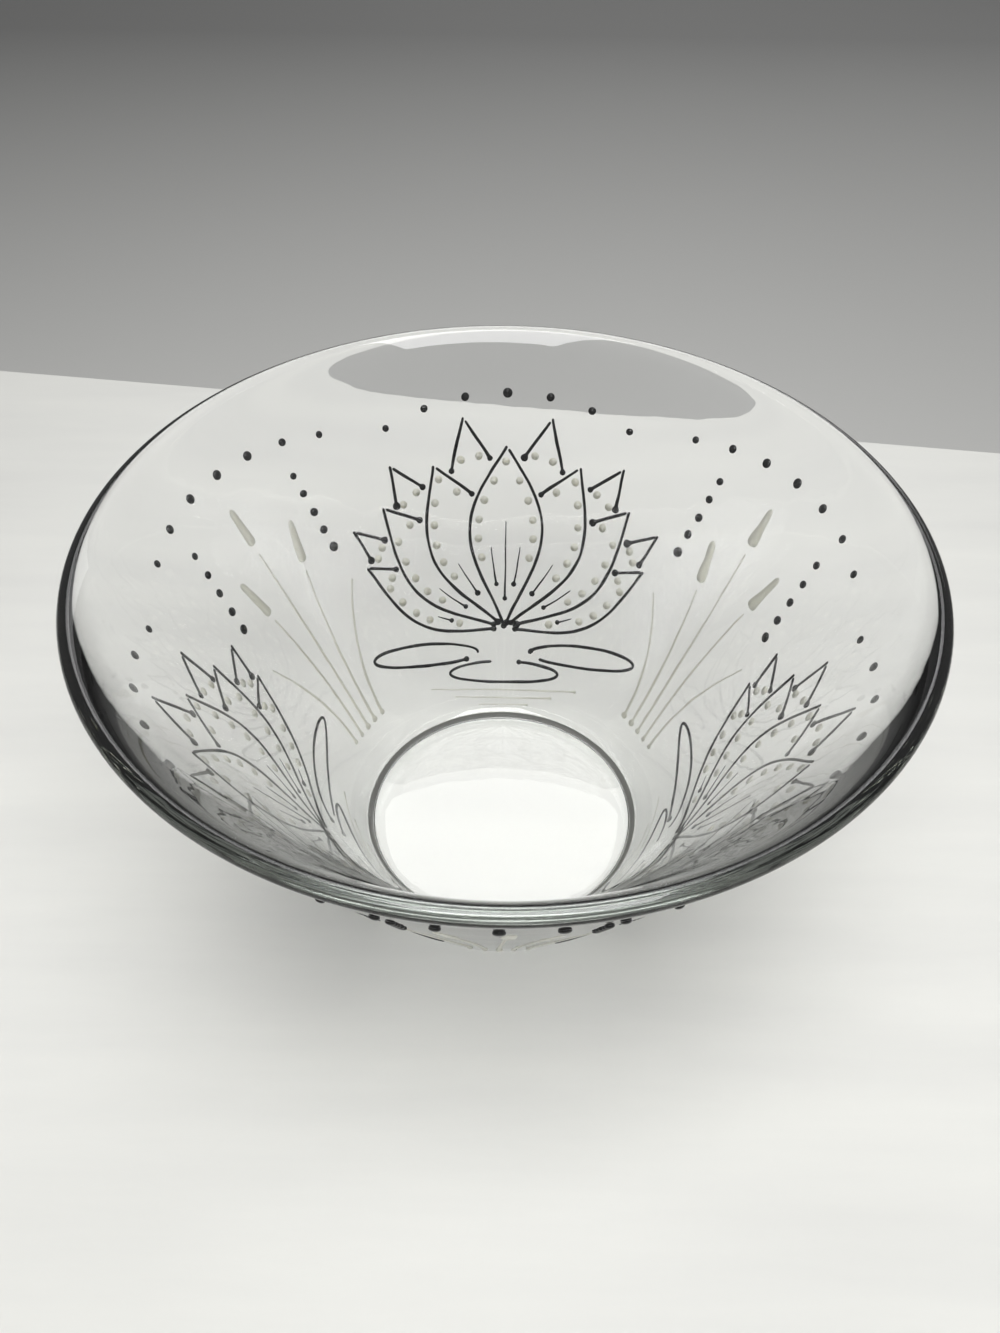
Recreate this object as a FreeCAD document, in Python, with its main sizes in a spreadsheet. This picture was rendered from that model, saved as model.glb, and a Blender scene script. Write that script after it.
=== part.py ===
"""Clear glass bowl for floating candles, decorated with raised contour paste.

Origin: centre of the resting ring, at table level. +Z up. Millimetres.
"""
import FreeCAD
import Part
import Sketcher
import math
import os
from FreeCAD import Vector

os.makedirs("parts", exist_ok=True)
doc = FreeCAD.newDocument("candle_bowl")

# Driving dimensions, in millimetres
sizes = {
    "rim_diameter": 230.0,
    "bowl_height": 125.0,
    "foot_diameter": 102.0,
    "lip_thickness": 4.6,
    "lip_taper_length": 6.0,
    "wall_thickness": 5.8,
    "foot_wall_thickness": 8.6,
    "floor_thickness": 8.0,
    "floor_blend": 5.0,
    "foot_rounding": 2.0,
    "punt_diameter": 89.0,
    "punt_depth": 1.2,
    "paste_gap": 0.2,
    "line_width": 1.2,
    "line_height": 0.55,
    "fine_line_width": 0.8,
    "line_clearance": 0.25,
    "dot_diameter": 2.9,
    "dot_height": 0.7,
    "dot_inset": 3.0,
    "petal_length": 66.0,
    "petal_width": 26.5,
    "pad_width": 42.0,
    "pad_height": 8.0,
    "ripple_length": 58.0,
    "ripple_spacing": 3.6,
    "reed_length": 92.0,
    "reed_spacing": 4.4,
    "reed_head_length": 15.0,
    "reed_head_width": 4.2,
    "drop_diameter": 3.2,
}
sheet = doc.addObject("Spreadsheet::Sheet", "sizes")
for row, (name, value) in enumerate(sizes.items(), start=1):
    sheet.set("A%d" % row, name)
    sheet.set("B%d" % row, str(value))
    sheet.setAlias("B%d" % row, name)
doc.recompute()


def size(name):
    return float(getattr(sheet, name))


# Layout of the decoration: counts, angles in degrees, and shares of the named sizes
repeats = 3
first_blossom_angle = 90.0
reed_turn_share = 0.5           # of the angle from one blossom to the next
blossom_base_share = 0.24       # of the wall's slant length, up from the foot
reed_base_share = 0.11
# lean from upright in degrees, then shares: length, width, curl; front petals first
petal_shares = (
    (0, 1.00, 1.00, 0.00),
    (27, 0.98, 0.98, -0.05),
    (52, 0.96, 0.86, -0.12),
    (76, 0.86, 0.66, -0.20),
    (13, 1.17, 0.84, -0.02),
    (40, 1.10, 0.80, -0.08),
    (65, 1.02, 0.66, -0.15),
)
petal_fullness = 1.15           # above 1 the widest place moves towards the tip
petal_point = 1.12              # above 1 the tip draws in to a point
# across the petal as a share of its half width, then start and end along it
vein_shares = ((0.0, 0.16, 0.60), (0.42, 0.24, 0.46), (-0.42, 0.24, 0.46))
dots_per_edge = 7
dot_first_share, dot_last_share = 0.30, 0.92
# pads: centre across and up as shares of the pad's width and height, notch angle in degrees
pad_shares = ((0.74, -1.10, 200), (-0.74, -1.10, -20), (0.0, -2.05, 90))
pad_notch_angle = 26.0
ripple_shares = (1.0, 0.66, 0.34)   # of the ripple length, top one first
ripple_drop_share = 2.75            # of the pad's height, from the blossom's base to the first ripple
ripple_sag_share = 0.05
# place across in reed spacings, length share, bend share
reed_shares = ((0, 1.00, 0.03), (-1, 0.84, -0.14), (1, 0.78, 0.15), (-2, 0.52, -0.34), (2, 0.48, 0.36))
reeds_with_heads = 3
reed_tip_share = 0.6            # of the line's width, where a blade runs out
# fans of drops: how many, degrees spanned, radius as a share of the petal or the reed
blossom_fan = (7, 62.0, 1.27)
reed_fan = (7, 46.0, 1.12)
# drops in a row beside the reeds: how many, then shares of the reed: out, first up, last up
reed_row = (5, 0.27, 0.66, 0.96)
smallest_drop_share = 0.75      # of the largest drop, at the ends of a fan or the top of a row

# How the paste is modelled
crown_share = 0.5               # of a line's width, flat on top
head_end_share = 0.35           # of a reed head's width, where it starts and ends
drop_sides = 8
# straight flats that each round of the glass is turned in, few for a light mesh
lip_chord_count = 5
foot_chord_count = 3
blend_chord_count = 4
bend_per_segment = 18.0         # degrees of turn that one straight segment may take
dip_share = 0.65                # of the gap, by which a straight segment may come nearer the round glass
outline_steps = 60              # points along a line before it is made into segments
shortest_line_share = 2.5       # a line shorter than this many widths is left out


def wall_lines():
    """Slope of the outer wall and its apex height, from the lip and foot circles it touches."""
    lip_radius = size("lip_thickness") / 2
    lip = (size("rim_diameter") / 2 - lip_radius, size("bowl_height") - lip_radius)
    foot = (size("foot_diameter") / 2 - size("foot_rounding"), size("foot_rounding"))
    across, up = lip[0] - foot[0], lip[1] - foot[1]
    slope = math.atan2(up, across)
    slope += math.asin((size("foot_rounding") - lip_radius) / math.hypot(across, up))
    touch = (lip[0] + lip_radius * math.sin(slope), lip[1] - lip_radius * math.cos(slope))
    return slope, touch[1] - touch[0] * math.tan(slope), lip, foot


slope, apex_height, lip_centre, foot_centre = wall_lines()
slant_to_foot = (foot_centre[0] + size("foot_rounding") * math.sin(slope)) / math.cos(slope)
slant_to_rim = (lip_centre[0] + size("lip_thickness") / 2 * math.sin(slope)) / math.cos(slope)
wall_length = slant_to_rim - slant_to_foot


def tilt_for(along, beside, distance):
    """Angle at which a line through a point comes that distance from the origin it is measured from."""
    return math.atan2(along, beside) - math.acos(distance / math.hypot(along, beside))


def inner_lines():
    """Tilts of the lip's taper and of the inner wall against the outer wall, and the point between them."""
    lip_radius, taper_length = size("lip_thickness") / 2, size("lip_taper_length")
    taper = tilt_for(taper_length, lip_radius, size("wall_thickness") - lip_radius)
    along = wall_length + lip_radius * math.sin(taper) - taper_length * math.cos(taper)
    tilt = tilt_for(along, size("wall_thickness"), size("foot_wall_thickness"))
    slant = slant_to_foot + along
    point = (slant * math.cos(slope) - size("wall_thickness") * math.sin(slope),
             apex_height + slant * math.sin(slope) + size("wall_thickness") * math.cos(slope))
    return taper, tilt, point


def glass_bowl():
    """One revolved profile: recess, resting ring, wall, round lip, its taper, inner wall and floor."""
    lip_radius = size("lip_thickness") / 2
    punt_radius, punt_depth = size("punt_diameter") / 2, size("punt_depth")
    blend = size("floor_blend")
    floor = size("floor_thickness")
    taper, tilt, taper_foot = inner_lines()
    lean, inner_lean = slope - math.pi / 2, slope - tilt - math.pi / 2
    blend_height = floor + blend
    reach = taper_foot[0] * math.cos(inner_lean) + taper_foot[1] * math.sin(inner_lean) - blend
    blend_centre = ((reach - blend_height * math.sin(inner_lean)) / math.cos(inner_lean), blend_height)

    def on_circle(centre, radius, turn):
        return centre[0] + radius * math.cos(turn), centre[1] + radius * math.sin(turn)

    body = doc.addObject("PartDesign::Body", "glass_bowl")
    body.Label = "glass_bowl"
    sketch = body.newObject("Sketcher::SketchObject", "profile")
    plane = [f for f in body.Origin.OriginFeatures if f.Role == "XZ_Plane"][0]
    sketch.AttachmentSupport = (plane, "")
    sketch.MapMode = "FlatFace"

    def line(start, end):
        return sketch.addGeometry(Part.LineSegment(Vector(*start, 0), Vector(*end, 0)))

    def round_stretch(centre, radius, start, end, flats):
        """A construction arc and the equal chords that follow it: the arc's and the chords' indices."""
        circle = Part.Circle(Vector(*centre, 0), Vector(0, 0, 1), radius)
        arc = sketch.addGeometry(Part.ArcOfCircle(circle, start, end))
        sketch.toggleConstruction(arc)
        turns = [start + (end - start) * i / flats for i in range(flats + 1)]
        points = [on_circle(centre, radius, t) for t in turns]
        return arc, [line(a, b) for a, b in zip(points, points[1:])]

    axis = line((0, floor), (0, punt_depth))
    ceiling = line((0, punt_depth), (punt_radius - punt_depth, punt_depth))
    step = line((punt_radius - punt_depth, punt_depth), (punt_radius, 0))
    ring = line((punt_radius, 0), (foot_centre[0], 0))
    foot_radius = size("foot_rounding")
    foot, foot_flats = round_stretch(foot_centre, foot_radius, -math.pi / 2, lean, foot_chord_count)
    outer_wall = line(on_circle(foot_centre, foot_radius, lean), on_circle(lip_centre, lip_radius, lean))
    lip_end = lean + math.pi - taper
    lip, lip_flats = round_stretch(lip_centre, lip_radius, lean, lip_end, lip_chord_count)
    lip_taper = line(on_circle(lip_centre, lip_radius, lip_end), taper_foot)
    inner_wall = line(taper_foot, on_circle(blend_centre, blend, inner_lean))
    corner, corner_flats = round_stretch(blend_centre, blend, -math.pi / 2, inner_lean, blend_chord_count)
    base = line((blend_centre[0], floor), (0, floor))

    first, last, middle = 1, 2, 3
    root, horizontal_axis, vertical_axis = -1, -1, -2
    rules = [
        ("PointOnObject", axis, first, vertical_axis),
        ("PointOnObject", axis, last, vertical_axis),
        ("Coincident", axis, last, ceiling, first),
        ("Horizontal", ceiling),
        ("Coincident", ceiling, last, step, first),
        ("Coincident", step, last, ring, first),
        ("Horizontal", ring),
        ("PointOnObject", ring, first, horizontal_axis),
        ("Tangent", ring, last, foot, first),
        ("Tangent", foot, last, outer_wall, first),
        ("Tangent", outer_wall, last, lip, first),
        ("Tangent", lip, last, lip_taper, first),
        ("Coincident", lip_taper, last, inner_wall, first),
        ("Tangent", inner_wall, last, corner, last),
        ("Tangent", corner, first, base, first),
        ("Horizontal", base),
        ("Coincident", base, last, axis, first),
    ]
    for arc, flats in ((foot, foot_flats), (lip, lip_flats), (corner, corner_flats)):
        rules += [("Coincident", flats[0], first, arc, first), ("Coincident", flats[-1], last, arc, last)]
        rules += [("Coincident", a, last, b, first) for a, b in zip(flats, flats[1:])]
        rules += [("PointOnObject", flat, first, arc) for flat in flats[1:]]
        rules += [("Equal", flats[0], flat) for flat in flats[1:]]
    for kind, *places in rules:
        sketch.addConstraint(Sketcher.Constraint(kind, *places))

    def bind(kind, places, value, rule):
        index = sketch.addConstraint(Sketcher.Constraint(kind, *places, value))
        sketch.setExpression("Constraints[%d]" % index, rule)

    bind("Radius", (lip,), lip_radius, "sizes.lip_thickness / 2")
    bind("DistanceX", (root, first, lip, middle), lip_centre[0],
         "(sizes.rim_diameter - sizes.lip_thickness) / 2")
    bind("DistanceY", (root, first, lip, middle), lip_centre[1],
         "sizes.bowl_height - sizes.lip_thickness / 2")
    bind("Distance", (lip_taper,), size("lip_taper_length"), "sizes.lip_taper_length")
    bind("Distance", (lip_taper, last, outer_wall), size("wall_thickness"), "sizes.wall_thickness")
    bind("Distance", (outer_wall, first, inner_wall), size("foot_wall_thickness"),
         "sizes.foot_wall_thickness")
    bind("Radius", (foot,), size("foot_rounding"), "sizes.foot_rounding")
    bind("DistanceX", (root, first, foot, middle), foot_centre[0],
         "sizes.foot_diameter / 2 - sizes.foot_rounding")
    bind("Radius", (corner,), blend, "sizes.floor_blend")
    bind("DistanceY", (root, first, base, last), floor, "sizes.floor_thickness")
    bind("DistanceX", (root, first, ring, first), punt_radius, "sizes.punt_diameter / 2")
    bind("DistanceX", (step, first, step, last), punt_depth, "sizes.punt_depth")
    bind("DistanceY", (root, first, step, first), punt_depth, "sizes.punt_depth")

    turned = body.newObject("PartDesign::Revolution", "turned_glass")
    turned.Profile = sketch
    turned.ReferenceAxis = (sketch, ["V_Axis"])
    turned.Angle = 360.0
    body.Tip = turned
    return body


# Flat drawing: across to the right, up along the wall from the foot's edge, in millimetres


def on_wall(point, angle):
    """Roll a point of the flat drawing onto the cone: the place, its two flat directions, its normal."""
    across, up = point[0], slant_to_foot + point[1]
    slant = math.hypot(across, up)
    turn = math.radians(angle) + math.atan2(across, up) / math.cos(slope)
    radius, height = slant * math.cos(slope), apex_height + slant * math.sin(slope)
    uphill = Vector(math.cos(slope) * math.cos(turn), math.cos(slope) * math.sin(turn), math.sin(slope))
    level = Vector(-math.sin(turn), math.cos(turn), 0)
    normal = Vector(math.sin(slope) * math.cos(turn), math.sin(slope) * math.sin(turn), -math.cos(slope))
    flat_across = (uphill * across + level * up) / slant
    flat_up = (uphill * up - level * across) / slant
    return Vector(radius * math.cos(turn), radius * math.sin(turn), height), flat_across, flat_up, normal


def gap_between(a, b):
    return math.hypot(a[0] - b[0], a[1] - b[1])


def length_of(points):
    return sum(gap_between(a, b) for a, b in zip(points, points[1:]))


def nearest(point, lines):
    return min((gap_between(point, other) for line in lines for other in line), default=math.inf)


def petal_point_at(petal, side, along, across):
    lean, length_share, _, curl_share = petal
    angle = math.radians(lean)
    length = size("petal_length") * length_share
    sideways = curl_share * length * along ** 2 + across
    return (side * (length * along * math.sin(angle) + sideways * math.cos(angle)),
            length * along * math.cos(angle) - sideways * math.sin(angle))


def petal_half_width(petal, along):
    swell = max(0.0, math.sin(math.pi * along ** petal_fullness)) ** petal_point
    return size("petal_width") / 2 * petal[2] * swell


def petal_covers(petal, side, point):
    lean, length_share, _, curl_share = petal
    angle = math.radians(lean)
    length = size("petal_length") * length_share
    across, up = side * point[0], point[1]
    along = (across * math.sin(angle) + up * math.cos(angle)) / length
    if not 0 < along < 1:
        return False
    sideways = across * math.cos(angle) - up * math.sin(angle) - curl_share * length * along ** 2
    return abs(sideways) < petal_half_width(petal, along)


def visible_runs(points, keep, shortest):
    """Split a line where it is hidden, and leave out the scraps."""
    runs, run = [], []
    for point in points:
        if keep(point):
            run.append(point)
        elif run:
            runs.append(run)
            run = []
    if run:
        runs.append(run)
    return [r for r in runs if len(r) > 1 and length_of(r) > shortest]


def blossom_drawing():
    """Edges, veins and dots of one blossom, each petal hidden by those in front of it."""
    line_room = size("line_width") + size("line_clearance")
    dot_room = (size("line_width") + size("dot_diameter")) / 2 + size("line_clearance")
    shortest = shortest_line_share * size("line_width")
    front, edge_lines = [], []
    edges, veins, dots = [], [], []
    for petal in petal_shares:
        for side in ((1, -1) if petal[0] else (1,)):
            def clear(point):
                return not any(petal_covers(p, s, point) for p, s in front)

            def line_at(across_share, start, end):
                """A line along the petal, at a share of its half width to one side."""
                steps = [start + (end - start) * i / outline_steps for i in range(outline_steps + 1)]
                return [petal_point_at(petal, side, t, across_share * petal_half_width(petal, t))
                        for t in steps]

            outline = [line_at(edge, 0, 1) for edge in (1, -1)]
            tip, root = outline[0][-1], outline[0][0]
            for index, line in enumerate(outline):
                def keep(point):
                    ends = index and min(gap_between(point, tip), gap_between(point, root)) < line_room
                    return clear(point) and not ends and nearest(point, edge_lines) > line_room
                edges += visible_runs(line, keep, shortest)
            for vein in vein_shares:
                veins += visible_runs(
                    line_at(*vein), lambda p: clear(p) and nearest(p, edge_lines + outline) > 2 * line_room,
                    shortest)
            for edge in (1, -1):
                for i in range(dots_per_edge):
                    t = dot_first_share + (dot_last_share - dot_first_share) * i / (dots_per_edge - 1)
                    inset = petal_half_width(petal, t) - size("dot_inset")
                    point = petal_point_at(petal, side, t, edge * inset)
                    crowded = nearest(point, [dots]) < size("dot_diameter") + size("line_clearance")
                    if inset > 0 and clear(point) and not crowded \
                            and nearest(point, edge_lines + outline + veins) > dot_room:
                        dots.append(point)
            front.append((petal, side))
            edge_lines += outline
    return edges, veins, dots


def pad_drawing():
    """Outline of each floating leaf with its notch, as seen flat on the water."""
    outlines = []
    for across_share, up_share, notch in pad_shares:
        centre = (across_share * size("pad_width"), up_share * size("pad_height"))
        sweep = 360.0 - pad_notch_angle
        rim = []
        for i in range(outline_steps + 1):
            angle = math.radians(notch + pad_notch_angle / 2 + sweep * i / outline_steps)
            rim.append((centre[0] + size("pad_width") / 2 * math.cos(angle),
                        centre[1] + size("pad_height") / 2 * math.sin(angle)))
        outlines.append(rim)
    return outlines


def ripple_drawing():
    top = -ripple_drop_share * size("pad_height")
    lines = []
    for row, share in enumerate(ripple_shares):
        half = size("ripple_length") * share / 2
        steps = [2 * i / outline_steps - 1 for i in range(outline_steps + 1)]
        lines.append([(half * s, top - row * size("ripple_spacing") - ripple_sag_share * half * (1 - s * s))
                      for s in steps])
    return lines


def reed_drawing():
    """Blades that fan out from one root, the tallest with a seed head at the tip."""
    blades, heads = [], []
    for row, (place, length_share, bend) in enumerate(reed_shares):
        length = size("reed_length") * length_share
        steps = [i / outline_steps for i in range(outline_steps + 1)]
        line = [(place * size("reed_spacing") + bend * length * t * t, length * t) for t in steps]
        if row < reeds_with_heads:
            head_start = 1 - size("reed_head_length") / length
            cut = head_start - (size("line_width") + size("line_clearance")) / length
            heads.append([p for p, t in zip(line, steps) if t >= head_start])
            line = [p for p, t in zip(line, steps) if t <= cut]
        blades.append(line)
    return blades, heads


def fan_of_drops(count, span, radius):
    """Drops on an arc round a root, the largest in the middle: place and diameter."""
    drops = []
    for i in range(count):
        away = 2 * i / (count - 1) - 1
        turn = math.radians(span / 2 * away)
        diameter = size("drop_diameter") * (1 - (1 - smallest_drop_share) * abs(away))
        drops.append(((radius * math.sin(turn), radius * math.cos(turn)), diameter))
    return drops


def rows_of_drops():
    """A row up each side of the reeds, smaller towards the top."""
    count, out, first, last = reed_row
    drops = []
    for side in (-1, 1):
        for i in range(count):
            along = i / (count - 1)
            place = (side * out, first + (last - first) * along)
            drops.append(([share * size("reed_length") for share in place],
                          size("drop_diameter") * (1 - (1 - smallest_drop_share) * along)))
    return drops


def segment_points(line, level_reach):
    """Fewest points that keep a line's bends and let each straight piece clear the round glass."""
    chosen, heading = [line[0]], None
    for before, point in zip(line, line[1:]):
        course = math.degrees(math.atan2(point[1] - before[1], point[0] - before[0]))
        if heading is None:
            heading = course
        turned = abs((course - heading + 180) % 360 - 180)
        level = abs(point[0] - chosen[-1][0])
        if turned > bend_per_segment or level > level_reach:
            chosen.append(before)
            heading = course
    if gap_between(chosen[-1], line[-1]) < size("line_width") and len(chosen) > 1:
        chosen.pop()
    return chosen + [line[-1]]


def faceted_solid(rings, peak=None):
    """Closed solid through rings of points, with flat ends or a peak: every facet is plane."""
    facets = [rings[0]]
    for ring, following in zip(rings, rings[1:]):
        for k in range(len(ring)):
            facets += [[ring[k - 1], ring[k], following[k]], [ring[k - 1], following[k], following[k - 1]]]
    last = rings[-1]
    facets += [last] if peak is None else [[last[k - 1], last[k], peak] for k in range(len(last))]
    faces = [Part.Face(Part.makePolygon(facet + facet[:1])) for facet in facets]
    return Part.makeSolid(Part.makeShell(faces))


def bead(line, angle, base, width_along, height):
    """One squeezed line: a flat back on the wall and a narrower crown."""
    lowest = min(up for _, up in line)
    radius = (slant_to_foot + base + lowest) * math.cos(slope)
    points = segment_points(line, 2 * math.sqrt(2 * radius * size("paste_gap") * dip_share))
    rings, done, total = [], 0.0, length_of(points)
    for i, point in enumerate(points):
        back, ahead = points[max(i - 1, 0)], points[min(i + 1, len(points) - 1)]
        course = math.atan2(ahead[1] - back[1], ahead[0] - back[0])
        half = width_along(done / total) / 2
        place, flat_across, flat_up, normal = on_wall((point[0], base + point[1]), angle)
        sideways = flat_up * math.cos(course) - flat_across * math.sin(course)
        rings.append([place + sideways * half * reach + normal * (size("paste_gap") + height * lift)
                      for reach, lift in ((-1, 0), (1, 0), (crown_share, 1), (-crown_share, 1))])
        if i + 1 < len(points):
            done += gap_between(point, points[i + 1])
    return faceted_solid(rings)


def drop(point, angle, base, diameter, height):
    """One drop of paste: a flat back and a low peak, as the liner tip leaves it."""
    place, flat_across, flat_up, normal = on_wall((point[0], base + point[1]), angle)
    back = place + normal * size("paste_gap")
    rim = []
    for k in range(drop_sides):
        turn = 2 * math.pi * k / drop_sides
        rim.append(back + (flat_across * math.cos(turn) + flat_up * math.sin(turn)) * (diameter / 2))
    return faceted_solid([rim], back + normal * height)


def paste(name, solids):
    piece = doc.addObject("Part::Feature", name)
    piece.Label = name
    piece.Shape = Part.makeCompound(solids)
    return piece


def even(width):
    return lambda along: width


def tapered(width):
    return lambda along: width * (1 - (1 - reed_tip_share) * along)


def spindle(width):
    return lambda along: width * (head_end_share + (1 - head_end_share) * math.sin(math.pi * along))


pieces = [glass_bowl()]
blossom_base = blossom_base_share * wall_length
reed_base = reed_base_share * wall_length
edges, veins, dots = blossom_drawing()
blades, heads = reed_drawing()
blossom_drops = fan_of_drops(*blossom_fan[:2], blossom_fan[2] * size("petal_length"))
reed_drops = fan_of_drops(*reed_fan[:2], reed_fan[2] * size("reed_length")) + rows_of_drops()
bold, fine = even(size("line_width")), even(size("fine_line_width"))
line_height, dot_height = size("line_height"), size("dot_height")
strokes = (
    ("blossom_%d_petals", edges, "blossom", bold),
    ("blossom_%d_veins", veins, "blossom", fine),
    ("pads_%d", pad_drawing(), "blossom", bold),
    ("ripples_%d", ripple_drawing(), "blossom", fine),
    ("reeds_%d_blades", blades, "reeds", tapered(size("line_width"))),
    ("reeds_%d_heads", heads, "reeds", spindle(size("reed_head_width"))),
)
drop_groups = (
    ("blossom_%d_dots", [(spot, size("dot_diameter")) for spot in dots], "blossom"),
    ("blossom_%d_drops", blossom_drops, "blossom"),
    ("reeds_%d_drops", reed_drops, "reeds"),
)
for repeat in range(repeats):
    number = repeat + 1
    angle = first_blossom_angle + 360.0 * repeat / repeats
    reed_angle = angle + reed_turn_share * 360.0 / repeats
    blossom, reeds = (angle, blossom_base), (reed_angle, reed_base)
    for name, lines, place, width in strokes:
        at = blossom if place == "blossom" else reeds
        pieces.append(paste(name % number, [bead(line, *at, width, line_height) for line in lines]))
    for name, spots, place in drop_groups:
        at = blossom if place == "blossom" else reeds
        pieces.append(paste(name % number, [drop(spot, *at, across, dot_height) for spot, across in spots]))

doc.recompute()
for item in doc.Objects:
    if "Invalid" in item.State or "Error" in item.State:
        raise RuntimeError("%s: %s" % (item.Label, item.State))
for piece in pieces:
    if piece.Shape.isNull() or not piece.Shape.isValid():
        raise RuntimeError("bad shape: " + piece.Label)
    piece.Shape.exportStep("parts/%s.step" % piece.Label)
    print(piece.Label, len(piece.Shape.Solids), "solids,", round(piece.Shape.Volume, 2), "mm3")
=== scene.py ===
import bpy
import math
from mathutils import Matrix, Vector, noise


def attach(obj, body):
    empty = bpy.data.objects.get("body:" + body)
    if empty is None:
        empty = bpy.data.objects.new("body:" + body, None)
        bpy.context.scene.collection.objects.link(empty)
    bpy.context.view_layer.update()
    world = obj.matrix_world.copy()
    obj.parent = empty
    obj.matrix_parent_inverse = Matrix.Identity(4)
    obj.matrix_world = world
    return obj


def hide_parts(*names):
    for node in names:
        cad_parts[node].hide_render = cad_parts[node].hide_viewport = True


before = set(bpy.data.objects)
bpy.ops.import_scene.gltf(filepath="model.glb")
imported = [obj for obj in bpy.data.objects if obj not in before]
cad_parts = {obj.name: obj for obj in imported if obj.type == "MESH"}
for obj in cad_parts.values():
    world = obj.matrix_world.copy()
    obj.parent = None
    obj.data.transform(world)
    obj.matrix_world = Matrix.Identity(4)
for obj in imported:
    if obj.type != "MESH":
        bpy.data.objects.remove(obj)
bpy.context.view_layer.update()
print("frame loaded:", len(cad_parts), "nodes")

mm = 0.001
noiseMiddle = (0.3, 0.7)         # between these lie most values of a noise texture


# Small helpers

def linearColour(hexCode, alpha=1.0):      # sRGB hex to the linear values of Blender's sockets
    parts = [int(hexCode[i:i + 2], 16) / 255 for i in (1, 3, 5)]
    return tuple(p / 12.92 if p <= 0.04045 else ((p + 0.055) / 1.055) ** 2.4 for p in parts) + (alpha,)


def addNode(tree, kind, settings=(), links=()):
    node = tree.nodes.new(kind)
    for name, value in dict(settings).items():
        if isinstance(name, str) and hasattr(node, name):
            setattr(node, name, value)
        else:
            node.inputs[name].default_value = value
    for name, source in dict(links).items():
        output = source if isinstance(source, bpy.types.NodeSocket) else source.outputs[0]
        tree.links.new(output, node.inputs[name])
    return node


def newMaterial(name):
    material = bpy.data.materials.new(name)
    material.use_nodes = True
    material.node_tree.nodes.clear()
    return material, material.node_tree


def meshObject(name, vertices, edges, faces, smooth=True):
    mesh = bpy.data.meshes.new(name)
    mesh.from_pydata(vertices, edges, faces)
    mesh.update()
    for polygon in mesh.polygons:
        polygon.use_smooth = smooth
    piece = bpy.data.objects.new(name, mesh)
    bpy.context.scene.collection.objects.link(piece)
    return piece


# Camera, at the photograph's viewing angle

camera = {
    "distance": 0.2283,          # from the bowl's axis to the lens, along Y
    "height": 0.3115,            # above the table
    "pitch": 45.78,              # degrees down
    "yaw": -0.28,
    "roll": 0.69,
    "focalPixels": 1105.9,
    "longSidePixels": 1333,
    "sensor": 36.0,
    "clipStart": 0.01,
}
lens = bpy.data.cameras.new("photoCamera")
lens.sensor_width = camera["sensor"]
lens.lens = camera["focalPixels"] / camera["longSidePixels"] * camera["sensor"]
lens.clip_start = camera["clipStart"]
viewer = bpy.data.objects.new("photoCamera", lens)
bpy.context.scene.collection.objects.link(viewer)
pitch, yaw, roll = (math.radians(camera[k]) for k in ("pitch", "yaw", "roll"))
forward = Vector((math.sin(yaw) * math.cos(pitch), math.cos(yaw) * math.cos(pitch), -math.sin(pitch)))
right = Vector((math.cos(yaw), -math.sin(yaw), 0))
up = right.cross(forward)
right, up = right * math.cos(roll) + up * math.sin(roll), up * math.cos(roll) - right * math.sin(roll)
turn = Matrix((right, up, -forward)).transposed()
viewer.matrix_world = Matrix.Translation((0, -camera["distance"], camera["height"])) @ turn.to_4x4()
bpy.context.scene.camera = viewer

# Table with its back edge in view, and a grey floor that shows beyond it

stage = {
    "tableColours": ("#DEDEDA", "#E6E6E1"), "tableRoughness": (0.55, 0.68),
    "tableBrush": (200 * mm, 26.3 * mm, 1000 * mm),  # spacing of the marks, drawn out across the view
    "tableEdge": 0.254,          # behind the bowl's axis
    "edgeTurn": 6.95,            # degrees
    "halfWidth": 2.0, "depth": 2.5, "thickness": 0.03,
    "floorNear": "#E4E4E1", "floorFar": "#868685", "floorRoughness": (0.7, 0.85),
    "floorBrush": (333 * mm, 333 * mm, 333 * mm), "floorBelow": 0.3, "floorSize": 6.0,
    "farAway": 1.9,              # behind the bowl's axis, where the floor is at its darkest
    "brushDepth": 0.2 * mm,
}


def matteStage(name, roughness, spacing):
    material, tree = newMaterial(name)
    place = addNode(tree, "ShaderNodeTexCoord").outputs["Object"]
    stretched = addNode(tree, "ShaderNodeVectorMath", {"operation": "DIVIDE", 1: spacing}, {0: place})
    brushed = addNode(tree, "ShaderNodeTexNoise", {"Scale": 1.0, "Detail": 6.0, "Roughness": 0.55},
                      {"Vector": stretched})
    gloss = addNode(tree, "ShaderNodeMapRange", {"To Min": roughness[0], "To Max": roughness[1]},
                    {"Value": brushed})
    relief = addNode(tree, "ShaderNodeBump", {"Strength": 0.05, "Distance": stage["brushDepth"]},
                     {"Height": brushed})
    shader = addNode(tree, "ShaderNodeBsdfPrincipled", {}, {"Roughness": gloss, "Normal": relief})
    addNode(tree, "ShaderNodeOutputMaterial", links={"Surface": shader})
    return material, tree, shader.inputs["Base Color"], place, brushed


s = stage
edgeTurn = math.radians(s["edgeTurn"])
edgeWay = Vector((math.cos(edgeTurn), -math.sin(edgeTurn), 0)) * s["halfWidth"]
edgeMid = Vector((0, s["tableEdge"], 0))
corners = [edgeMid - edgeWay, edgeMid + edgeWay, Vector((s["halfWidth"], -s["depth"], 0)),
           Vector((-s["halfWidth"], -s["depth"], 0))]
under = [corner - Vector((0, 0, s["thickness"])) for corner in corners]
table = meshObject("table", corners + under, [], [(0, 3, 2, 1), (4, 5, 6, 7)]
                   + [(k, (k + 1) % 4, 4 + (k + 1) % 4, 4 + k) for k in range(4)], False)
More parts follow.
